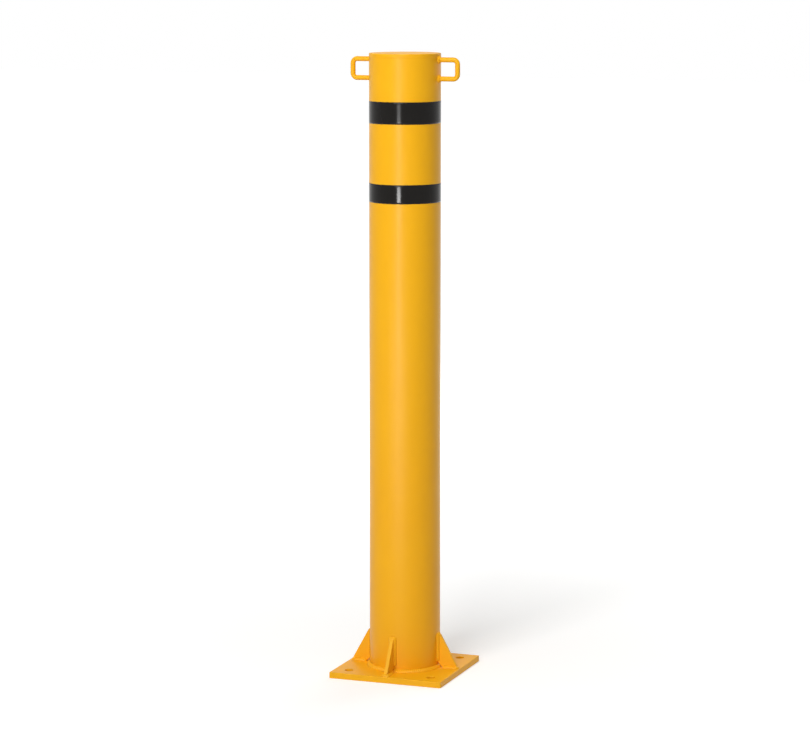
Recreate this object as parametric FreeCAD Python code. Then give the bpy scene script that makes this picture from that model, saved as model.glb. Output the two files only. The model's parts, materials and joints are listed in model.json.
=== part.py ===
import FreeCAD, Part
import math
import os

# A fixed bollard: a round steel tube closed by a welded disc, on a square foot plate that four
# gussets stiffen and four anchors hold at its corners. A bent bar eye stands on each side of the
# tube under its top, and two bands of black tape go round it. Millimetres, with +Z up and the
# origin at the middle of the foot plate's underside. The front is towards -Y, the right towards +X.

# Post
overall_height = 1000.0
post_diameter = 114.3
post_wall = 3.6
cap_thickness = 5.0
cap_edge_bevel = 1.0
cap_weld_land = 1.0          # wall that stays square inside the bevel at the tube's top

# Foot
plate_thickness = 10.0
plate_overhang = 38.0        # from the tube's side to the plate's edge, square to it
plate_edge_bevel = 1.0
anchor_hole_diameter = 14.0
anchor_edge_distance = 25.0  # from a hole's centre to the two nearest edges of the plate
foot_weld_leg = 5.0

# Gussets
gusset_height = 54.0
gusset_thickness = 6.0
gusset_weld_leg = 4.0
gusset_edge_land = 2.0       # bare plate between a gusset's weld and the plate's edge
gusset_tip_land = 1.0        # how far each cut-off tip stands past the weld's leg
gusset_snipe_gap = 4.0       # from the foot weld to the gusset's cut inner corner

# Eyes
eye_bar_diameter = 8.0
eye_gap = 22.0               # clear height between the two legs
eye_reach = 35.0             # from the tube's side to the outside of the bar
eye_bend_radius = 7.0        # of the bar's middle line at both corners
eye_weld_leg = 3.0
eye_weld_land = 0.5          # flat end of the collar round the bar
eye_weld_sides = 10
eye_top_margin = 2.5         # from the upper weld collar to the top of the post

# Tape
tape_thickness = 0.2
tape_lap = 25.0              # length by which the end of the tape lies over its start
upper_tape_width = 35.0
upper_tape_drop = 75.0       # from the top of the post to the band's upper edge
lower_tape_width = 30.0
lower_tape_drop = 205.0

post_radius = post_diameter / 2
seam_height = overall_height - cap_thickness
cap_weld_depth = post_wall - cap_weld_land
plate_half = post_radius + plate_overhang
anchor_offset = plate_half - anchor_edge_distance
gusset_snipe = foot_weld_leg + gusset_snipe_gap
gusset_tip = gusset_weld_leg + gusset_tip_land
gusset_end = plate_half - gusset_edge_land - gusset_weld_leg
gusset_top = plate_thickness + gusset_height
eye_bar_radius = eye_bar_diameter / 2
eye_collar_radius = eye_bar_radius + eye_weld_land + eye_weld_leg
upper_leg_height = overall_height - eye_top_margin - eye_collar_radius
lower_leg_height = upper_leg_height - eye_gap - eye_bar_diameter

side_angle = {"right": 0, "back": 90, "left": 180, "front": 270}
seam_angle = side_angle["back"] / 2

origin = FreeCAD.Vector(0, 0, 0)
x_axis = FreeCAD.Vector(1, 0, 0)
y_axis = FreeCAD.Vector(0, 1, 0)
z_axis = FreeCAD.Vector(0, 0, 1)


def turned(shape, degrees):
    return shape.rotated(origin, z_axis, degrees)


def face_of(points):
    return Part.Face(Part.makePolygon(points + points[:1]))


def ring(profile):
    # A closed outline of (radius, height) pairs, turned once round the post's axis
    points = [FreeCAD.Vector(radius, 0, height) for radius, height in profile]
    return face_of(points).revolve(origin, z_axis, 360)


def post_envelope():
    # The seam of its side is turned away from the eyes and gussets, so that no seat is split by it
    return turned(Part.makeCylinder(post_radius, overall_height), seam_angle)


def seat_depth(half_width):
    # How far the tube's surface falls back from its crown at this distance to the side
    return post_radius - math.sqrt(post_radius**2 - half_width**2)


def post_tube():
    bore_radius = post_radius - post_wall
    bevel_start = seam_height - cap_weld_depth
    return ring([
        (bore_radius, plate_thickness),
        (post_radius, plate_thickness),
        (post_radius, bevel_start),
        (bore_radius + cap_weld_land, seam_height),
        (bore_radius, seam_height),
    ])


def top_cap():
    disc = Part.makeCylinder(post_radius, cap_thickness, z_axis * seam_height)
    rim = [edge for edge in disc.Edges if edge.BoundBox.ZMin > seam_height]
    return disc.makeChamfer(cap_edge_bevel, rim)


def cap_weld():
    # Fills the bevel under the cap and is dressed flush with the tube
    return ring([
        (post_radius, seam_height - cap_weld_depth),
        (post_radius, seam_height),
        (post_radius - cap_weld_depth, seam_height),
    ])


def base_plate():
    width = 2 * plate_half
    corner = FreeCAD.Vector(-plate_half, -plate_half, 0)
    plate = Part.makeBox(width, width, plate_thickness, corner)
    rim = [edge for edge in plate.Edges if edge.BoundBox.ZMin > plate_thickness / 2]
    plate = plate.makeChamfer(plate_edge_bevel, rim)
    for x in (-anchor_offset, anchor_offset):
        for y in (-anchor_offset, anchor_offset):
            hole = Part.makeCylinder(anchor_hole_diameter / 2, plate_thickness, FreeCAD.Vector(x, y, 0))
            plate = plate.cut(hole)
    return plate


def foot_weld():
    return ring([
        (post_radius, plate_thickness),
        (post_radius + foot_weld_leg, plate_thickness),
        (post_radius, plate_thickness + foot_weld_leg),
    ])


def gusset():
    # A triangle on the +X side with cut-off tips, an inner corner that clears the foot weld
    # and an edge that is hollowed to the tube
    outline = [
        (post_radius + gusset_snipe, plate_thickness),
        (gusset_end, plate_thickness),
        (gusset_end, plate_thickness + gusset_tip),
        (post_radius + gusset_tip, gusset_top),
        (0, gusset_top),
        (0, plate_thickness + gusset_snipe),
        (post_radius, plate_thickness + gusset_snipe),
    ]
    near_side = -gusset_thickness / 2
    points = [FreeCAD.Vector(x, near_side, z) for x, z in outline]
    plate = face_of(points).extrude(y_axis * gusset_thickness)
    return plate.cut(post_envelope())


def fillet_bead(length, leg):
    # A three-cornered bead along both sides of a gusset's edge and round the edge's far end.
    # The edge runs along x from 0 to its length, and the gusset stands up from it along y.
    half = gusset_thickness / 2
    block = Part.makeWedge(0, 0, -half - leg, -half, 0, length + leg, leg, half + leg, half, length)
    edge = Part.makeBox(length, leg, gusset_thickness, FreeCAD.Vector(0, 0, -half))
    return block.cut(edge)


def gusset_plate_weld():
    start = FreeCAD.Vector(post_radius + gusset_snipe, 0, plate_thickness)
    bead = fillet_bead(gusset_end - start.x, gusset_weld_leg)
    bead.Placement = FreeCAD.Placement(start, FreeCAD.Rotation(x_axis, 90))
    return bead


def gusset_tube_weld():
    # Starts inside the tube's outline, so that its back is hollowed to the tube all over
    sunk = seat_depth(gusset_thickness / 2 + 2 * gusset_weld_leg)
    start = FreeCAD.Vector(post_radius - sunk, 0, plate_thickness + gusset_snipe)
    bead = fillet_bead(gusset_height - gusset_snipe, gusset_weld_leg + sunk)
    bead.Placement = FreeCAD.Placement(start, FreeCAD.Rotation(z_axis, x_axis, y_axis))
    return bead.cut(post_envelope())


def eye_bend(leg_height, inward):
    # A quarter turn from a leg to the eye's outer side, inward being the way to the other leg
    outer_x = post_radius + eye_reach - eye_bar_radius
    short = eye_bend_radius * (1 - math.sqrt(0.5))
    turn = [(eye_bend_radius, 0), (short, short), (0, eye_bend_radius)]
    return [FreeCAD.Vector(outer_x - back, 0, leg_height + inward * rise) for back, rise in turn]


def eye():
    # A round bar on the +X side, bent to a staple whose two legs are hollowed to the tube
    upper_bend = eye_bend(upper_leg_height, -1)
    lower_bend = eye_bend(lower_leg_height, 1)
    start = z_axis * upper_leg_height
    end = z_axis * lower_leg_height
    path = Part.Wire([
        Part.LineSegment(start, upper_bend[0]).toShape(),
        Part.Arc(*upper_bend).toShape(),
        Part.LineSegment(upper_bend[2], lower_bend[2]).toShape(),
        Part.Arc(*reversed(lower_bend)).toShape(),
        Part.LineSegment(lower_bend[0], end).toShape(),
    ])
    section = Part.Wire(Part.makeCircle(eye_bar_radius, start, x_axis))
    return path.makePipeShell([section], True, True).cut(post_envelope())


def polygon_round(centre, half_width):
    # Corners of an even polygon square to x, with its flat sides this far from the centre
    step = 2 * math.pi / eye_weld_sides
    radius = half_width / math.cos(step / 2)
    turns = [step * number for number in range(eye_weld_sides)]
    return [centre + (y_axis * math.cos(turn) + z_axis * math.sin(turn)) * radius for turn in turns]


def eye_collar(leg_height):
    # A weld that tapers in flat strokes from the tube to a leg of the eye
    tip_width = eye_bar_radius + eye_weld_land
    sunk = seat_depth(tip_width + 2 * eye_weld_leg)
    rise = eye_weld_leg + sunk
    root = FreeCAD.Vector(post_radius - sunk, 0, leg_height)
    wide_end = polygon_round(root, tip_width + rise)
    tip_end = polygon_round(root + x_axis * rise, tip_width)
    faces = [face_of(wide_end), face_of(tip_end)]
    for corner in range(eye_weld_sides):
        faces.append(face_of([wide_end[corner - 1], wide_end[corner], tip_end[corner], tip_end[corner - 1]]))
    leg = Part.makeCylinder(eye_bar_radius, rise, root, x_axis)
    return Part.Solid(Part.Shell(faces)).cut(leg).cut(post_envelope())


def both_sides(shapes):
    # Pieces made on the right, with the same pieces on the left beside them
    mirrored = [turned(shape, side_angle["left"]) for shape in shapes]
    return Part.makeCompound(shapes + mirrored)


def tape_band(drop, width):
    # One turn of tape round the tube, with its end lapped over its start at the back
    base = z_axis * (overall_height - drop - width)
    outer_radius = post_radius + tape_thickness
    turn = Part.makeCylinder(outer_radius, width, base)
    turn = turn.cut(Part.makeCylinder(post_radius, width, base))
    lap_angle = math.degrees(tape_lap / outer_radius)
    lap = Part.makeCylinder(outer_radius + tape_thickness, width, base, z_axis, lap_angle)
    lap = lap.cut(Part.makeCylinder(outer_radius, width, base))
    return turn.fuse(turned(lap, side_angle["back"] - lap_angle / 2)).removeSplitter()


nodes = {
    "post_tube": post_tube(),
    "top_cap": top_cap(),
    "cap_weld": cap_weld(),
    "base_plate": base_plate(),
    "foot_weld": foot_weld(),
    "side_eyes": both_sides([eye()]),
    "side_eye_welds": both_sides([eye_collar(upper_leg_height), eye_collar(lower_leg_height)]),
    "upper_tape_band": tape_band(upper_tape_drop, upper_tape_width),
    "lower_tape_band": tape_band(lower_tape_drop, lower_tape_width),
}
for side, angle in side_angle.items():
    nodes["gusset_" + side] = turned(gusset(), angle)
    nodes["gusset_" + side + "_plate_weld"] = turned(gusset_plate_weld(), angle)
    nodes["gusset_" + side + "_tube_weld"] = turned(gusset_tube_weld(), angle)

os.makedirs("parts", exist_ok=True)
for name, shape in nodes.items():
    shape.exportStep("parts/" + name + ".step")
    print(name, len(shape.Solids), shape.isValid(), round(shape.Volume, 1))
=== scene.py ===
import json
import math
import bmesh
import bpy
import numpy as np
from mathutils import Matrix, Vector


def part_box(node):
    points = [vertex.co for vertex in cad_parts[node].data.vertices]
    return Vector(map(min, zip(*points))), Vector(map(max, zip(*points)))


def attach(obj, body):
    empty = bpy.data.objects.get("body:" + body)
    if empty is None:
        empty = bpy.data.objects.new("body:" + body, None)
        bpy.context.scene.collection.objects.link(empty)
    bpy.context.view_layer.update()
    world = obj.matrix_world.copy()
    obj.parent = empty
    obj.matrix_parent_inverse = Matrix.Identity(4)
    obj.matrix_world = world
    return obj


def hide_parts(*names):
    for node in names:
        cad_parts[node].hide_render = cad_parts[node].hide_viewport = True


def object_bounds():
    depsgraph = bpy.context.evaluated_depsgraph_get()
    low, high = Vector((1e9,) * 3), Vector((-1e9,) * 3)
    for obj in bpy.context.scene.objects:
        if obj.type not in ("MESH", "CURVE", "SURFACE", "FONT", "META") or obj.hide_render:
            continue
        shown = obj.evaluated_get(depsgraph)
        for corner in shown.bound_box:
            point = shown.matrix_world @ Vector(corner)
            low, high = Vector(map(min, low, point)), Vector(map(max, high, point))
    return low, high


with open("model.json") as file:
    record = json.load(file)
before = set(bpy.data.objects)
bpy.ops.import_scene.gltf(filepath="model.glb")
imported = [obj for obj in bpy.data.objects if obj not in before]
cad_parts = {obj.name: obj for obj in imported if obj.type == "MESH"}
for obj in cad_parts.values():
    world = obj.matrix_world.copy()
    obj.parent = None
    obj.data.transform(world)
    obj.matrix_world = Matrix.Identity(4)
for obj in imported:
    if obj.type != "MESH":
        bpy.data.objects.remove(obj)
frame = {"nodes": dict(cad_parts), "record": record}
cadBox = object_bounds()

# A yellow tube bollard on a gusseted foot plate, with two black tape bands and a bar eye on each side.
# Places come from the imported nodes, in metres. +Z is up, the front is towards -Y.
mm = 0.001
fullTurn = 2 * math.pi
quarterTurn = math.pi / 2

tubeLow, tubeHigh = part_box("post_tube")
capLow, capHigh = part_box("top_cap")
plateLow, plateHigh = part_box("base_plate")
tubeRadius = tubeHigh.x
plateTop = plateHigh.z
seamHeight = capLow.z
topHeight = capHigh.z
sideTurn = {"right": 0.0, "back": 1.0, "left": 2.0, "front": 3.0}  # quarter turns from +X

scene = bpy.context.scene
scene.view_settings.view_transform = "Standard"
print("frame loaded:", len(frame["nodes"]), "nodes")


# Mesh tools

meshing = dict(
    guard=0.4,              # of a corner's radius, from its arc to the next point on the flat
    merge=0.002 * mm,       # points nearer than this become one
    edgeSteps=3,
    edgeAngle=28,           # degrees of the least fold that is rounded
)


def roundedOutline(corners, radius, steps=5):
    # Each corner of a closed outline becomes an arc that touches its two sides: the arc's middle lies on
    # the bisector, and its points turn from one side's foot to the other's. One more point before and
    # after each arc keeps the flats between them flat.
    corners = np.asarray(corners, float)
    toLast = np.roll(corners, 1, axis=0) - corners
    toNext = np.roll(corners, -1, axis=0) - corners
    toLast /= np.linalg.norm(toLast, axis=1, keepdims=True)
    toNext /= np.linalg.norm(toNext, axis=1, keepdims=True)
    half = np.arccos(np.clip(np.sum(toLast * toNext, axis=1), -1, 1)) / 2
    radius = np.broadcast_to(np.asarray(radius, float), half.shape)[:, None]
    reach = radius / np.tan(half)[:, None]
    bisector = toLast + toNext
    bisector /= np.linalg.norm(bisector, axis=1, keepdims=True)
    middle = corners + bisector * radius / np.sin(half)[:, None]
    firstArm = (corners + toLast * reach - middle)[:, None]
    lastArm = (corners + toNext * reach - middle)[:, None]
    turn = (math.pi - 2 * half)[:, None, None]
    share = np.linspace(0, 1, steps + 1)[None, :, None]
    spread = np.sin((1 - share) * turn) * firstArm + np.sin(share * turn) * lastArm
    arcs = middle[:, None] + spread / np.sin(turn)
    guard = reach + meshing["guard"] * radius
    before = (corners + toLast * guard)[:, None]
    after = (corners + toNext * guard)[:, None]
    return np.concatenate([before, arcs, after], axis=1).reshape(-1, 2)


def refined(outline, step):
    # The same run of points with more of them wherever two are further apart than a step
    gone = np.concatenate([[0], np.cumsum(np.linalg.norm(np.diff(outline, axis=0), axis=1))])
    places = np.union1d(gone, np.arange(0, gone[-1], step))
    return np.stack([np.interp(places, gone, outline[:, axis]) for axis in range(2)], axis=1)


def revolved(outline, segments):
    # Pairs of radius and height turned once round the post's axis: x = r cos a, y = r sin a
    angle = np.linspace(0, fullTurn, segments, endpoint=False)[None, :]
    radius = outline[:, :1]
    height = outline[:, 1:] + 0 * angle
    return np.stack([radius * np.cos(angle), radius * np.sin(angle), height], axis=-1)


def unevenness(along, across, seed, waves=4, slow=0.6, quick=1.7):
    # A smooth made-up surface between -1 and 1: sine waves with odd lengths, added up
    draw = np.random.default_rng(seed)
    total = 0
    for wave in range(waves):
        size = draw.uniform(slow, quick, 2)
        total = total + np.sin(size[0] * along + size[1] * across + draw.uniform(0, fullTurn))
    return total / waves


def roundTrip(angle, once, twice):
    # A value that is back at its start after a full turn: a sine of the angle and one of its double
    return once * np.sin(angle) + twice * np.sin(2 * angle)


def turnedSide(grid, side):
    # A grid made on the +X side, carried round the post by quarter turns
    angle = sideTurn[side] * quarterTurn
    x = grid[..., 0] * math.cos(angle) - grid[..., 1] * math.sin(angle)
    y = grid[..., 0] * math.sin(angle) + grid[..., 1] * math.cos(angle)
    return np.stack([x, y, grid[..., 2]], axis=-1)


def joined(shape, first, loopRows, loopColumns):
    # Four-sided faces between the neighbours of a rows by columns grid
    number = first + np.arange(shape[0] * shape[1]).reshape(shape[:2])
    if loopRows:
        number = np.vstack([number, number[:1]])
    if loopColumns:
        number = np.hstack([number, number[:, :1]])
    faces = [number[:-1, :-1], number[1:, :-1], number[1:, 1:], number[:-1, 1:]]
    return np.stack(faces, axis=-1).reshape(-1, 4)


def makePiece(
    name, grids, material, nodes, loopRows=False, loopColumns=True, closed=True,
):
    # Grids become one mesh, and points that meet are merged. On a closed piece open ends are filled and
    # faces are turned outwards.
    faces = []
    first = 0
    for grid in grids:
        faces.append(joined(grid.shape, first, loopRows, loopColumns))
        first += grid.shape[0] * grid.shape[1]
    points = np.concatenate([grid.reshape(-1, 3) for grid in grids])
    mesh = bpy.data.meshes.new(name)
    mesh.from_pydata(points.tolist(), [], np.concatenate(faces).tolist())
    form = bmesh.new()
    form.from_mesh(mesh)
    bmesh.ops.remove_doubles(form, verts=form.verts, dist=meshing["merge"])
    if closed:
        bmesh.ops.holes_fill(form, edges=[edge for edge in form.edges if edge.is_boundary], sides=0)
        bmesh.ops.recalc_face_normals(form, faces=form.faces)
    form.to_mesh(mesh)
    form.free()
    mesh.shade_smooth()
    mesh.materials.append(material)
    piece = bpy.data.objects.new(name, mesh)
    scene.collection.objects.link(piece)
    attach(piece, "root")
    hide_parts(*nodes)
    return piece


def thickened(piece, thickness, offset, edgeRound):
    # A flat sheet gets its thickness, and its edges are rounded
    wall = piece.modifiers.new("thickness", "SOLIDIFY")
    wall.thickness = thickness
    wall.offset = offset
    wall.use_even_offset = True
    edge = piece.modifiers.new("edge", "BEVEL")
    edge.width = edgeRound
    edge.segments = meshing["edgeSteps"]
    edge.limit_method = "ANGLE"
    edge.angle_limit = math.radians(meshing["edgeAngle"])
    edge.harden_normals = True


# Shader groups

def newGroup(name, inputs, outputs):
    # An empty shader group with its sockets, and the nodes at its two ends
    group = bpy.data.node_groups.new(name, "ShaderNodeTree")
    for label, kind, value in inputs:
        group.interface.new_socket(label, in_out="INPUT", socket_type=kind).default_value = value
    for label, kind in outputs:
        group.interface.new_socket(label, in_out="OUTPUT", socket_type=kind)
    return group, group.nodes.new("NodeGroupInput"), group.nodes.new("NodeGroupOutput")


def addMath(tree, operation, first, second, third=None):
    # A maths node, fed by links or by plain numbers
    node = tree.nodes.new("ShaderNodeMath")
    node.operation = operation
    for socket, value in zip(node.inputs, (first, second, third)):
        if isinstance(value, bpy.types.NodeSocket):
            tree.links.new(value, socket)
        elif value is not None:
            socket.default_value = value
    return node.outputs[0]


def addNoise(tree, point, scale, detail=2.0, roughness=0.5):
    # A noise about 0.5, with its scale as a link or a plain number
    node = tree.nodes.new("ShaderNodeTexNoise")
    tree.links.new(point, node.inputs["Vector"])
    if isinstance(scale, bpy.types.NodeSocket):
        tree.links.new(scale, node.inputs["Scale"])
    else:
        node.inputs["Scale"].default_value = scale
    node.inputs["Detail"].default_value = detail
    node.inputs["Roughness"].default_value = roughness
    return node.outputs["Fac"]


def makeCoatSkin():
    # Height of a baked coat in metres: fine peel and a long slow wave, each a noise about its middle
    group, entry, out = newGroup(
        "coatSkin",
        [
            ("Point", "NodeSocketVector", (0, 0, 0)),
            ("Peel Scale", "NodeSocketFloat", 260.0),
            ("Peel Depth", "NodeSocketFloat", 0.00002),
            ("Wave Scale", "NodeSocketFloat", 14.0),
            ("Wave Depth", "NodeSocketFloat", 0.0002),
        ],
        [("Height", "NodeSocketFloat")],
    )
    fine = addNoise(group, entry.outputs["Point"], entry.outputs["Peel Scale"])
    slow = addNoise(group, entry.outputs["Point"], entry.outputs["Wave Scale"], 1.0)
    peel = addMath(group, "MULTIPLY", addMath(group, "SUBTRACT", fine, 0.5), entry.outputs["Peel Depth"])
    wave = addMath(group, "MULTIPLY", addMath(group, "SUBTRACT", slow, 0.5), entry.outputs["Wave Depth"])
    group.links.new(addMath(group, "ADD", peel, wave), out.inputs["Height"])
    return group


def makeToneDrift():
    # A colour that leans towards a second one in soft patches, in the measure of the amount
    group, entry, out = newGroup(
        "toneDrift",
        [
            ("Point", "NodeSocketVector", (0, 0, 0)),
            ("Color", "NodeSocketColor", (0.8, 0.8, 0.8, 1)),
            ("Second Color", "NodeSocketColor", (0.7, 0.7, 0.7, 1)),
            ("Patch Scale", "NodeSocketFloat", 9.0),
            ("Amount", "NodeSocketFloat", 0.5),
        ],
        [("Color", "NodeSocketColor")],
    )
    patch = addNoise(group, entry.outputs["Point"], entry.outputs["Patch Scale"], 3.0)
    share = addMath(group, "MULTIPLY", patch, entry.outputs["Amount"])
    mix = group.nodes.new("ShaderNodeMix")
    mix.data_type = "RGBA"
    group.links.new(share, mix.inputs["Factor"])
    group.links.new(entry.outputs["Color"], mix.inputs["A"])
    group.links.new(entry.outputs["Second Color"], mix.inputs["B"])
    group.links.new(mix.outputs["Result"], out.inputs["Color"])
    return group


def makeGlossDrift():
    # Roughness about its middle value, with cloudy patches and fine specks
    group, entry, out = newGroup(
        "glossDrift",
        [
            ("Point", "NodeSocketVector", (0, 0, 0)),
            ("Roughness", "NodeSocketFloat", 0.3),
            ("Spread", "NodeSocketFloat", 0.1),
            ("Cloud Scale", "NodeSocketFloat", 18.0),
        ],
        [("Roughness", "NodeSocketFloat")],
    )
    cloud = addNoise(group, entry.outputs["Point"], entry.outputs["Cloud Scale"], 5.0, 0.65)
    swing = addMath(group, "MULTIPLY", addMath(group, "SUBTRACT", cloud, 0.5), entry.outputs["Spread"])
    group.links.new(addMath(group, "ADD", entry.outputs["Roughness"], swing), out.inputs["Roughness"])
    return group


coatSkin = makeCoatSkin()
toneDrift = makeToneDrift()
glossDrift = makeGlossDrift()


def startMaterial(name):
    # A material with its tree, the piece's own coordinates and its shader
    material = bpy.data.materials.new(name)
    material.use_nodes = True
    tree = material.node_tree
    point = tree.nodes.new("ShaderNodeTexCoord").outputs["Object"]
    return material, tree, point, tree.nodes["Principled BSDF"]


def placeGroup(tree, group, point, values):
    # A shared group inside a material, with that material's values
    node = tree.nodes.new("ShaderNodeGroup")
    node.node_tree = group
    tree.links.new(point, node.inputs["Point"])
    for label, value in values.items():
        node.inputs[label].default_value = value
    return node


def bumpFrom(tree, height, shader):
    # Heights are in metres, so the bump's own distance stays 1
    bump = tree.nodes.new("ShaderNodeBump")
    bump.inputs["Strength"].default_value = 1.0
    bump.inputs["Distance"].default_value = 1.0
    tree.links.new(height, bump.inputs["Height"])
    tree.links.new(bump.outputs["Normal"], shader.inputs["Normal"])


def dressShader(tree, point, shader, finish, look):
    # The finish gives two colours and the specular level, the look gives the values of the three groups.
    # Back come the tone's node and the height of the skin.
    tone = placeGroup(tree, toneDrift, point, {
        "Color": finish["color"],
        "Second Color": finish["secondColor"],
        "Patch Scale": look["tone"][0],
        "Amount": look["tone"][1],
    })
    gloss = placeGroup(tree, glossDrift, point, {
        "Roughness": look["gloss"][0],
        "Spread": look["gloss"][1],
        "Cloud Scale": look["gloss"][2],
    })
    skin = placeGroup(tree, coatSkin, point, {
        "Peel Scale": look["peel"][0],
        "Peel Depth": look["peel"][1],
        "Wave Scale": look["wave"][0],
        "Wave Depth": look["wave"][1],
    })
    tree.links.new(tone.outputs["Color"], shader.inputs["Base Color"])
    tree.links.new(gloss.outputs["Roughness"], shader.inputs["Roughness"])
    shader.inputs["Specular IOR Level"].default_value = finish["specular"]
    return tone, skin.outputs["Height"]


# Yellow paint, one material for each kind of steel under it

paint = dict(
    color=(0.93, 0.465, 0.007, 1),
    secondColor=(0.90, 0.405, 0.004, 1),
    specular=0.19,
    shadeReach=0.6,          # metres above the ground up to which the tube's colour is deeper: painted shade towards the foot
)
# Peel and wave are noise scale and depth in metres, gloss is roughness, spread and scale of its clouds,
# and tone is the scale and amount of the second colour's patches. The foot's shade is that amount at the
# ground, a painted shade on the tube's lower part.
paintOn = {
    "tubePaint": dict(
        peel=(240, 0.00004), wave=(17, 0.0008), gloss=(0.35, 0.16, 15), tone=(7, 0.35), footShade=1.5,
    ),
    "platePaint": dict(peel=(280, 0.00004), wave=(26, 0.00022), gloss=(0.43, 0.12, 22), tone=(14, 0.7)),
    "weldPaint": dict(peel=(420, 0.00003), wave=(60, 0.0001), gloss=(0.38, 0.10, 40), tone=(40, 0.9)),
    "barPaint": dict(peel=(330, 0.000024), wave=(45, 0.0001), gloss=(0.39, 0.12, 30), tone=(30, 0.7)),
}


def paintFootShade(tree, point, tone, look):
    # Painted shade: the second colour's amount grows from the look's own above the reach to the foot's at
    # the ground, so the tube's colour is deeper towards its foot
    split = tree.nodes.new("ShaderNodeSeparateXYZ")
    tree.links.new(point, split.inputs["Vector"])
    amount = tree.nodes.new("ShaderNodeMapRange")
    amount.interpolation_type = "SMOOTHSTEP"
    amount.inputs["From Max"].default_value = paint["shadeReach"]
    amount.inputs["To Min"].default_value = look["footShade"]
    amount.inputs["To Max"].default_value = look["tone"][1]
    tree.links.new(split.outputs["Z"], amount.inputs["Value"])
    tree.links.new(amount.outputs["Result"], tone.inputs["Amount"])


def makePaint(name, look):
    material, tree, point, shader = startMaterial(name)
    tone, height = dressShader(tree, point, shader, paint, look)
    # Only the tube gets the painted shade that deepens its colour towards the foot
    if "footShade" in look:
        paintFootShade(tree, point, tone, look)
    bumpFrom(tree, height, shader)
    return material


paints = {name: makePaint(name, look) for name, look in paintOn.items()}


# Black tape

tape = dict(
    color=(0.005, 0.004, 0.003, 1),
    secondColor=(0.011, 0.0095, 0.008, 1),
    specular=0.15,
    peel=(150, 0.000012),
    wave=(24, 0.00018),
    gloss=(0.145, 0.06, 60),
    tone=(45, 0.5),
    stretch=(9, 9, 1100),   # lines in a metre, many only across the band's width
    stretchDepth=0.000006,
    lap=25 * mm,
    ramp=5 * mm,            # length over which the end climbs on to the start
    edgeWander=0.25 * mm,
    rimWidth=0.3 * mm,      # strip along each edge where the film thins
    rimShare=0.55,          # of the thickness, left at the very edge
    wrinkle=0.03 * mm,
    longWaves=(3, 9),       # weights of the turn and of the place across, for the wrinkles
    shortWaves=(17, 2),
    rows=360,
    columns=15,
)


def makeTapeFilm():
    # The film's skin has fine lines along the band, left from stretching it
    material, tree, point, shader = startMaterial("tapeFilm")
    skinHeight = dressShader(tree, point, shader, tape, tape)[1]
    stretch = tree.nodes.new("ShaderNodeMapping")
    stretch.inputs["Scale"].default_value = tape["stretch"]
    tree.links.new(point, stretch.inputs["Vector"])
    lines = addNoise(tree, stretch.outputs["Vector"], 1.0)
    bumpFrom(tree, addMath(tree, "MULTIPLY_ADD", lines, tape["stretchDepth"], skinHeight), shader)
    return material


tapeFilm = makeTapeFilm()
print("materials made:", len(bpy.data.materials))


# Post: tube, cap and the dressed weld between them

post = dict(
    wall=3.6 * mm,
    weldLand=1.0 * mm,
    endRound=0.25 * mm,
    roundSteps=3,           # steps in the small rounds of tube and seam
    wave=0.1 * mm,          # how far the tube's skin lies back in its hollows
    waves=(3, 2, 26),       # weights of the turn, of its double and of the height, for the hollows
    fade=4,                 # power by which the hollows fade through the wall
    seed=11,
    rowStep=9 * mm,
    segments=240,
    capRound=1.2 * mm,
    capFootRound=0.2 * mm,
    capStep=6 * mm,
    seamRound=0.15 * mm,
    seamStep=0.4 * mm,
    seamFace=0.1 * mm,      # depth under the tube's radius that still counts as the outer face
    seamProud=0.14 * mm,
    seamRipple=0.8,         # of the proud height
    seamWaves=(30, 19, 3),  # the same weights for the seam's ripples
    seamSeed=5,
)


def makePostTube():
    # The wall's five-cornered section turned round the axis. The outer skin lies back by a small wave
    # that only goes inwards, so what is wrapped or welded on stays outside it.
    bore = tubeRadius - post["wall"]
    bevelStart = seamHeight - post["wall"] + post["weldLand"]
    section = [
        (bore, tubeLow.z),
        (tubeRadius, tubeLow.z),
        (tubeRadius, bevelStart),
        (bore + post["weldLand"], seamHeight),
        (bore, seamHeight),
    ]
    outline = roundedOutline(section, post["endRound"], post["roundSteps"])
    grid = revolved(refined(np.vstack([outline, outline[:1]]), post["rowStep"])[:-1], post["segments"])
    angle = np.arctan2(grid[..., 1], grid[..., 0])
    radius = np.hypot(grid[..., 0], grid[..., 1])
    skin = np.clip((radius - bore) / post["wall"], 0, 1) ** post["fade"]
    once, twice, upward = post["waves"]
    around = once * np.sin(angle) + twice * np.cos(2 * angle)
    hollow = 0.5 * post["wave"] * (1 - unevenness(around, upward * grid[..., 2], post["seed"])) * skin
    grid[..., :2] *= (1 - hollow / radius)[..., None]
    makePiece("postTube", [grid], paints["tubePaint"], ["post_tube"], loopRows=True)


def makeTopCap():
    # A disc's half section from the axis below to the axis above, turned round it
    section = [(0, seamHeight), (tubeRadius, seamHeight), (tubeRadius, topHeight), (0, topHeight)]
    outline = roundedOutline(section, [0, post["capFootRound"], post["capRound"], 0])
    grid = revolved(refined(outline, post["capStep"]), post["segments"])
    makePiece("topCap", [grid], paints["platePaint"], ["top_cap"])


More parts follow.
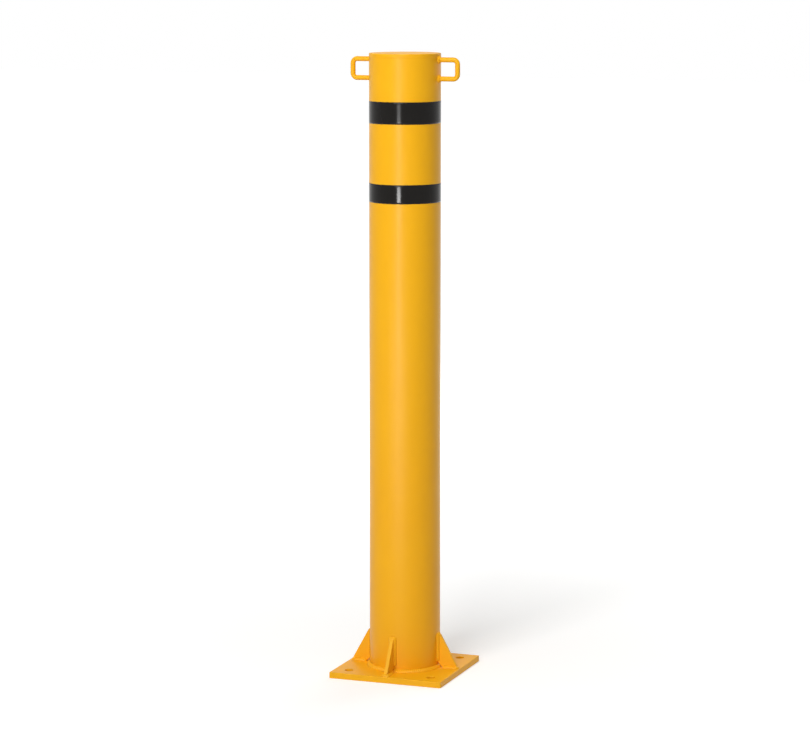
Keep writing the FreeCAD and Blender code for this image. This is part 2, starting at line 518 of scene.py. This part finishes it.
def makeCapSeam():
    # A three-cornered ring. Its outer face stands a little proud and uneven, as a dressed weld does.
    weldLow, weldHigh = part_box("cap_weld")
    depth = weldHigh.z - weldLow.z
    section = [(tubeRadius - depth, weldHigh.z), (tubeRadius, weldLow.z), (tubeRadius, weldHigh.z)]
    outline = roundedOutline(section, post["seamRound"], post["roundSteps"])
    outline = refined(np.vstack([outline, outline[:1]]), post["seamStep"])[:-1]
    grid = revolved(outline, 2 * post["segments"])
    angle = np.linspace(0, fullTurn, grid.shape[1], endpoint=False)[None, :]
    up = (grid[..., 2] - weldLow.z) / depth
    face = np.clip((np.hypot(grid[..., 0], grid[..., 1]) - tubeRadius) / post["seamFace"] + 1, 0, 1)
    once, twice, upward = post["seamWaves"]
    ripple = unevenness(roundTrip(angle, once, twice), upward * up, post["seamSeed"])
    swell = np.sin(math.pi * np.clip(up, 0, 1))
    proud = post["seamProud"] * (1 + post["seamRipple"] * ripple) * face * swell
    grid[..., :2] *= (1 + proud / tubeRadius)[..., None]
    makePiece("capSeam", [grid], paints["weldPaint"], ["cap_weld"], loopRows=True)


makePostTube()
makeTopCap()
makeCapSeam()
print("post made")


# Foot plate

anchor = next(mount["dims"] for mount in frame["record"]["mounts"] if mount["kind"] == "bolt_pattern")
plate = dict(
    cornerRadius=1.5 * mm,
    edgeRound=0.9 * mm,
    holeOffset=anchor["spacing_x_mm"] / 2 * mm,
    holeRadius=anchor["hole_r_mm"] * mm,
    sideSteps=16,
    cornerSteps=6,
    rings=np.array([0, 0.12, 0.3, 0.5, 0.7, 0.88, 1.0]),  # shares of the way from hole to edge
)


def makeFootPlate():
    # One quarter runs from its hole's circle out to the quarter's edge: each point lies on the straight
    # line between the two. Quarter turns make the other three, and the sheet then gets its thickness.
    half = plateHigh.x
    flat = half - plate["cornerRadius"]
    share = np.linspace(0, 1, plate["sideSteps"], endpoint=False)
    bend = np.linspace(0, quarterTurn, plate["cornerSteps"], endpoint=False)
    zero = 0 * share
    edge = np.concatenate([
        np.stack([half * share, zero], axis=1),
        np.stack([zero + half, flat * share], axis=1),
        flat + plate["cornerRadius"] * np.stack([np.cos(bend), np.sin(bend)], axis=1),
        np.stack([flat * (1 - share), zero + half], axis=1),
        np.stack([zero, half * (1 - share)], axis=1),
    ])
    hole = np.array([plate["holeOffset"], plate["holeOffset"]])
    ray = edge - hole
    rim = hole + plate["holeRadius"] * ray / np.linalg.norm(ray, axis=1, keepdims=True)
    flatGrid = rim + plate["rings"][:, None, None] * (edge - rim)
    quarter = np.concatenate([flatGrid, np.full(flatGrid.shape[:2] + (1,), plateTop)], axis=-1)
    quarters = [turnedSide(quarter, side) for side in sideTurn]
    piece = makePiece("footPlate", quarters, paints["platePaint"], ["base_plate"], closed=False)
    thickened(piece, plateTop - plateLow.z, -1, plate["edgeRound"])


makeFootPlate()
print("foot plate made")


# Welds: a three-cornered fillet carried along a line, with a bulged face and crescent ripples

weld = dict(
    fit=0.94,               # of the node's leg, so that the bulge stays inside the node
    faceSteps=12,
    bulge=0.13,             # of the leg
    ripple=0.055,           # of the leg
    toeRipple=0.6,          # of the ripple's height, left at the toes
    rippleSwing=0.5,        # how much the ripples swell and fade along the bead
    crescent=0.32,          # how far the ripples lag at the toes, in pitches
    wander=0.07,            # of the leg, along the toes
    wanderRate=0.45,        # radians in a millimetre of an open bead
    ringWaves=(9, 7, 5),    # on a ring, weights of the turn's sine, its double's sine and its cosine
    pitch=3.4 * mm,
    perPitch=10,            # rows in one ripple
    endRound=3.0 * mm,
    toe=0.05 * mm,          # least width of the bead at its upper toe
    seed=21,
)


def filletFace(travel, leg, seed, ring):
    # Distances out and up from the root corner. Across the face they go from one toe to the other, with
    # a bulge of half a sine wave and ripples whose phase lags towards both toes. The last column is the
    # root itself. On an open bead both ends shrink to the root along a quarter circle.
    total = travel[-1] + (travel[1] - travel[0] if ring else 0)
    count = max(round(total / weld["pitch"]), 1)
    across = np.linspace(0, 1, weld["faceSteps"])[None, :]
    hump = np.sin(math.pi * across)
    phase = fullTurn * (count * travel[:, None] / total + weld["crescent"] * hump)
    if ring:
        circle = fullTurn * travel[:, None] / total
        once, twice, aside = weld["ringWaves"]
        swing = unevenness(roundTrip(circle, once, twice), aside * np.cos(circle) + 0 * across, seed)
        end = 1
    else:
        swing = unevenness(weld["wanderRate"] * travel[:, None] / mm, 0 * across, seed)
        near = np.minimum(travel, total - travel) / weld["endRound"]
        end = np.sqrt(1 - (1 - np.clip(near, 0, 1)) ** 2)[:, None]
    size = leg * (1 + weld["wander"] * swing)
    height = weld["toeRipple"] + (1 - weld["toeRipple"]) * hump
    ripple = weld["ripple"] * height * np.sin(phase) * (1 + weld["rippleSwing"] * swing)
    lift = leg * (weld["bulge"] * hump + ripple) * math.sqrt(0.5)
    root = np.zeros((len(travel), 1))
    out = np.hstack([end * np.maximum(size * (1 - across) + lift, weld["toe"]), root])
    up = np.hstack([end * np.maximum(size * across + lift, 0), root])
    return out, up


def makeFootBead():
    # The fillet ring between tube and plate: out is away from the axis, up is along it
    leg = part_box("foot_weld")[1].z - plateTop
    middle = tubeRadius + leg / 2
    rows = round(fullTurn * middle / weld["pitch"]) * weld["perPitch"]
    travel = np.linspace(0, fullTurn * middle, rows, endpoint=False)
    out, up = filletFace(travel, leg * weld["fit"], weld["seed"], True)
    angle = travel[:, None] / middle
    radius = tubeRadius + out
    grid = np.stack([radius * np.cos(angle), radius * np.sin(angle), plateTop + up], axis=-1)
    makePiece("footBead", [grid], paints["weldPaint"], ["foot_weld"], loopRows=True)


makeFootBead()


# Gussets and their beads

gusset = dict(
    tip=5 * mm,
    snipe=9 * mm,           # cut at the inner corner, which clears the foot bead
    edgeRound=0.8 * mm,
    columns=7,
    rowStep=4 * mm,
    beadSeed=40,
)


def makeGusset(side):
    # A flat sheet ruled at each height between the inner edge, which starts with a cut corner and then
    # follows the tube, and the outer edge, which stands upright at the tip and then slopes to the top
    low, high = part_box("gusset_right")
    height = high.z - low.z
    tip = gusset["tip"]
    snipe = gusset["snipe"]
    levels = np.union1d([0, tip, snipe, height], np.arange(0, height - mm, gusset["rowStep"]))
    inner = np.interp(levels, [0, snipe, height], [tubeRadius + snipe, tubeRadius, tubeRadius])
    outer = np.interp(levels, [0, tip, height], [high.x, high.x, tubeRadius + tip])
    share = np.linspace(0, 1, gusset["columns"])[None, :]
    x = inner[:, None] + share * (outer - inner)[:, None]
    grid = np.stack([x, 0 * x, low.z + levels[:, None] + 0 * x], axis=-1)
    node = "gusset_" + side
    piece = makePiece(
        "gusset" + side.capitalize(), [turnedSide(grid, side)], paints["platePaint"], [node],
        loopColumns=False, closed=False,
    )
    thickened(piece, high.y - low.y, 0, gusset["edgeRound"])


def hairpin(length, halfWidth, leg):
    # Once along one side of a gusset's edge, round its end and back along the other side. Gives the
    # place along and across, the way out as an angle, and the distance travelled at half a leg out.
    corner = quarterTurn * leg / 2
    stations = np.cumsum([0, length, corner, 2 * halfWidth, corner, length])
    rows = round(stations[-1] / weld["pitch"]) * weld["perPitch"]
    travel = np.union1d(np.linspace(0, stations[-1], rows), stations)
    along = np.interp(travel, stations, [0, length, length, length, length, 0])
    across = np.interp(travel, stations, halfWidth * np.array([1, 1, 1, -1, -1, -1]))
    angle = np.interp(travel, stations, quarterTurn * np.array([1, 1, 0, 0, -1, -1]))
    return along[:, None], across[:, None], angle[:, None], travel


def makeGussetBeads(side, seed):
    # The fillet's section carried along the hairpin, once on the plate and once on the tube
    low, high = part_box("gusset_right")
    plateWeldLow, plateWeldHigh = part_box("gusset_right_plate_weld")
    leg = (plateWeldHigh.z - plateWeldLow.z) * weld["fit"]
    halfWidth = high.y
    # On the plate: out goes sideways from the gusset, up goes along the post
    startX = tubeRadius + gusset["snipe"]
    along, across, angle, travel = hairpin(high.x - startX, halfWidth, leg)
    out, up = filletFace(travel, leg, seed, False)
    x = startX + along + out * np.cos(angle)
    y = across + out * np.sin(angle)
    plateGrid = np.stack([x, y, low.z + up], axis=-1)
    # On the tube: out goes sideways or up, and up goes away from the tube's curved face
    startZ = low.z + gusset["snipe"]
    along, across, angle, travel = hairpin(high.z - startZ, halfWidth, leg)
    out, up = filletFace(travel, leg, seed + 1, False)
    y = across + out * np.sin(angle)
    z = startZ + along + out * np.cos(angle)
    tubeGrid = np.stack([np.sqrt(tubeRadius ** 2 - y ** 2) + up, y, z], axis=-1)
    name = "gusset" + side.capitalize()
    for label, grid in (("plate", plateGrid), ("tube", tubeGrid)):
        node = "gusset_" + side + "_" + label + "_weld"
        makePiece(name + label.capitalize() + "Bead", [turnedSide(grid, side)], paints["weldPaint"], [node])


for place, side in enumerate(sideTurn):
    makeGusset(side)
    makeGussetBeads(side, gusset["beadSeed"] + 2 * place)
print("gussets and foot welds made")


# Side eyes: a round bar bent to a staple, and a weld collar round each leg

eye = dict(
    bendRadius=7 * mm,
    thin=0.03,              # of the bar's radius, lost in the bends
    sink=1 * mm,            # depth inside the tube at which the bar's line starts, before it is cut back
    rowStep=0.8 * mm,
    around=40,
    collarLeg=3.2 * mm,
    collarSeed=70,
)


def makeEyes():
    # The bar's heading turns from outwards to downwards to inwards. Its middle line is the sum of the
    # steps along that heading, and a circle square to it is carried along. In the bends the bar is a
    # little thinner. Both ends stop on the tube's curved face.
    low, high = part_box("side_eyes")
    barRadius = high.y
    outerX = high.x - barRadius
    upper = high.z - barRadius
    lower = low.z + barRadius
    startX = tubeRadius - eye["sink"]
    leg = outerX - eye["bendRadius"] - startX
    bend = quarterTurn * eye["bendRadius"]
    limb = upper - lower - 2 * eye["bendRadius"]
    stations = np.cumsum([0, leg, bend, limb, bend, leg])
    travel = np.union1d(np.arange(0, stations[-1], eye["rowStep"]), stations)
    heading = np.interp(travel, stations, -quarterTurn * np.array([0, 0, 1, 1, 2, 2]))
    steps = np.diff(travel)
    middle = (heading[1:] + heading[:-1]) / 2
    x = startX + np.concatenate([[0], np.cumsum(steps * np.cos(middle))])
    z = upper + np.concatenate([[0], np.cumsum(steps * np.sin(middle))])
    bending = np.abs(np.sin(2 * heading))
    radius = (barRadius * (1 - eye["thin"] * bending))[:, None]
    angle = np.linspace(0, fullTurn, eye["around"], endpoint=False)[None, :]
    barX = x[:, None] - radius * np.cos(angle) * np.sin(heading)[:, None]
    barY = barRadius * np.sin(angle) + 0 * barX
    barZ = z[:, None] + radius * np.cos(angle) * np.cos(heading)[:, None]
    barX = np.maximum(barX, np.sqrt(tubeRadius ** 2 - barY ** 2))
    grid = np.stack([barX, barY, barZ], axis=-1)
    both = [turnedSide(grid, side) for side in ("right", "left")]
    makePiece("sideEyes", both, paints["barPaint"], ["side_eyes"])
    makeCollars(barRadius, (upper, lower))


def makeCollars(barRadius, legHeights):
    # The fillet goes once round each leg: out is away from the bar, up is away from the tube's face
    grids = []
    middle = barRadius + eye["collarLeg"] / 2
    rows = round(fullTurn * middle / weld["pitch"]) * weld["perPitch"]
    travel = np.linspace(0, fullTurn * middle, rows, endpoint=False)
    angle = travel[:, None] / middle
    for place, legHeight in enumerate(legHeights):
        for turn, side in enumerate(("right", "left")):
            out, up = filletFace(travel, eye["collarLeg"], eye["collarSeed"] + 2 * place + turn, True)
            y = (barRadius + out) * np.cos(angle)
            z = legHeight + (barRadius + out) * np.sin(angle)
            x = np.sqrt(tubeRadius ** 2 - y ** 2) + up
            grids.append(turnedSide(np.stack([x, y, z], axis=-1), side))
    makePiece("eyeCollars", grids, paints["weldPaint"], ["side_eye_welds"], loopRows=True)


makeEyes()
print("side eyes made")


# Tape bands

def makeBand(name, node, seed):
    # A thin strip wound once round the tube and a lap further. Its inner face lies on the tube, then
    # climbs by the tape's thickness on to its own start. Its section runs up the outer face and down
    # the inner one; the edges wander a little and the film has slight wrinkles.
    low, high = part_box(node)
    thickness = -(low.y + tubeRadius)
    lapAngle = tape["lap"] / tubeRadius
    wound = np.linspace(0, fullTurn + lapAngle, tape["rows"])[:, None]
    angle = quarterTurn - lapAngle / 2 + wound
    climb = np.clip(1 + (wound - fullTurn) * tubeRadius / tape["ramp"], 0, 1)
    inner = tubeRadius + thickness * climb * climb * (3 - 2 * climb)
    across = np.linspace(0, 1, tape["columns"])[None, :]
    rim = np.minimum(across, 1 - across) * (high.z - low.z) / tape["rimWidth"]
    film = thickness * np.clip(tape["rimShare"] + (1 - tape["rimShare"]) * rim, 0, 1)
    longWrinkle = unevenness(tape["longWaves"][0] * wound, tape["longWaves"][1] * across, seed)
    shortWrinkle = unevenness(tape["shortWaves"][0] * wound, tape["shortWaves"][1] * across, seed + 1)
    outer = inner + film + tape["wrinkle"] * (longWrinkle * shortWrinkle) * np.clip(rim, 0, 1)
    wander = tape["edgeWander"] * np.sin(wound + seed) * np.sin(2 * wound)
    height = low.z + (high.z - low.z) * across + wander
    radius = np.hstack([outer, np.broadcast_to(inner, (tape["rows"], 2))])
    level = np.hstack([height, height[:, -1:], height[:, :1]])
    grid = np.stack([radius * np.cos(angle), radius * np.sin(angle), level], axis=-1)
    makePiece(name, [grid], tapeFilm, [node])


makeBand("upperBand", "upper_tape_band", 81)
makeBand("lowerBand", "lower_tape_band", 91)
print("tape bands made")


# Studio: pale floor, white surroundings, soft lights and the camera

studio = dict(
    floorSize=40.0,
    floorColor=(0.86, 0.86, 0.85, 1),
    floorRoughness=0.9,
    floorSpecular=0.1,
    nearGlow=0.30,          # added where the camera sees the floor, so that it reads as white
    farGlow=0.84,
    glowReach=2.5,          # metres from the post over which the glow grows
    worldLight=0.22,
)
# Place is azimuth from the front in degrees, distance and height. Aim is a height on the post's axis.
# The last three act only on gloss: pale lines on the tape and a pale patch on the tube.
lamps = {
    "keyLight": dict(place=(-2, 2.85, 2.5), aim=0.5, size=(1.5, 1.5), power=78),
    "topLight": dict(place=(0, 0.9, 3.2), aim=0.3, size=(1.8, 1.8), power=16),
    "backLight": dict(place=(172, 3.4, 1.5), aim=0.5, size=(2.0, 2.0), power=45, glossy=False),
    "lineLight": dict(place=(1, 3.0, 0.49), aim=0.8, size=(0.5, 0.18), power=18, diffuse=False),
    "faintLight": dict(place=(1, 3.0, 0.74), aim=0.8, size=(0.5, 0.18), power=2.5, diffuse=False),
    "patchLight": dict(
        place=(-2, 1.0, 0.29), aim=0.4, size=(1.15, 0.36), power=2.6, diffuse=False, shape="ELLIPSE",
    ),
}
viewer = dict(place=(20.4, 4.61, 1.171), lens=129, sensor=36)


def rayShare(tree):
    # 1 for rays from the camera, off a glossy face or through glass, 0 for the rest
    path = tree.nodes.new("ShaderNodeLightPath")
    seen = addMath(tree, "MAXIMUM", path.outputs["Is Camera Ray"], path.outputs["Is Glossy Ray"])
    return addMath(tree, "MAXIMUM", seen, path.outputs["Is Transmission Ray"])


def makeFloor():
    # One pale face with a soft glow of its own that grows with the distance from the post
    mesh = bpy.data.meshes.new("floor")
    half = studio["floorSize"] / 2
    corner = np.array([[-1, -1, 0], [1, -1, 0], [1, 1, 0], [-1, 1, 0]]) * half
    mesh.from_pydata(corner.tolist(), [], [[0, 1, 2, 3]])
    floor = bpy.data.objects.new("floor", mesh)
    scene.collection.objects.link(floor)
    material = bpy.data.materials.new("paleFloor")
    material.use_nodes = True
    tree = material.node_tree
    shader = tree.nodes["Principled BSDF"]
    shader.inputs["Base Color"].default_value = studio["floorColor"]
    shader.inputs["Roughness"].default_value = studio["floorRoughness"]
    shader.inputs["Specular IOR Level"].default_value = studio["floorSpecular"]
    shader.inputs["Emission Color"].default_value = (1, 1, 1, 1)
    reach = tree.nodes.new("ShaderNodeVectorMath")
    reach.operation = "LENGTH"
    tree.links.new(tree.nodes.new("ShaderNodeTexCoord").outputs["Object"], reach.inputs[0])
    level = tree.nodes.new("ShaderNodeMapRange")
    level.interpolation_type = "SMOOTHSTEP"
    level.inputs["From Max"].default_value = studio["glowReach"]
    level.inputs["To Min"].default_value = studio["nearGlow"]
    level.inputs["To Max"].default_value = studio["farGlow"]
    tree.links.new(reach.outputs["Value"], level.inputs["Value"])
    glow = addMath(tree, "MULTIPLY", rayShare(tree), level.outputs["Result"])
    tree.links.new(glow, shader.inputs["Emission Strength"])
    mesh.materials.append(material)


def makeWorld():
    # White where it is seen or mirrored, and a weak light for the rest
    world = bpy.data.worlds.new("studioWorld")
    scene.world = world
    world.use_nodes = True
    tree = world.node_tree
    light = tree.nodes["Background"]
    light.inputs["Color"].default_value = (1, 1, 1, 1)
    share = rayShare(tree)
    rest = 1 - studio["worldLight"]
    strength = addMath(tree, "MULTIPLY_ADD", share, rest, studio["worldLight"])
    tree.links.new(strength, light.inputs["Strength"])


def standAround(name, data, place, aim):
    # A lamp or camera at an azimuth, positive towards the right, a distance and a height, turned to a
    # height on the post's axis
    azimuth, distance, height = place
    turn = math.radians(azimuth)
    stand = bpy.data.objects.new(name, data)
    scene.collection.objects.link(stand)
    stand.location = (distance * math.sin(turn), -distance * math.cos(turn), height)
    stand.rotation_mode = "QUATERNION"
    stand.rotation_quaternion = (Vector((0, 0, aim)) - stand.location).to_track_quat("-Z", "Y")
    return stand


def addLamp(name, look):
    # A soft panel that the camera never sees
    panel = bpy.data.lights.new(name, "AREA")
    panel.shape = look.get("shape", "RECTANGLE")
    panel.size = look["size"][0]
    panel.size_y = look["size"][1]
    panel.energy = look["power"]
    lamp = standAround(name, panel, look["place"], look["aim"])
    lamp.visible_glossy = look.get("glossy", True)
    lamp.visible_diffuse = look.get("diffuse", True)
    lamp.visible_camera = False


def makeCamera():
    # It looks at the middle of the post's height
    lens = bpy.data.cameras.new("camera")
    lens.lens = viewer["lens"]
    lens.sensor_width = viewer["sensor"]
    scene.camera = standAround("camera", lens, viewer["place"], (cadBox[0].z + cadBox[1].z) / 2)


makeFloor()
makeWorld()
for name, look in lamps.items():
    addLamp(name, look)
makeCamera()
print("studio made")
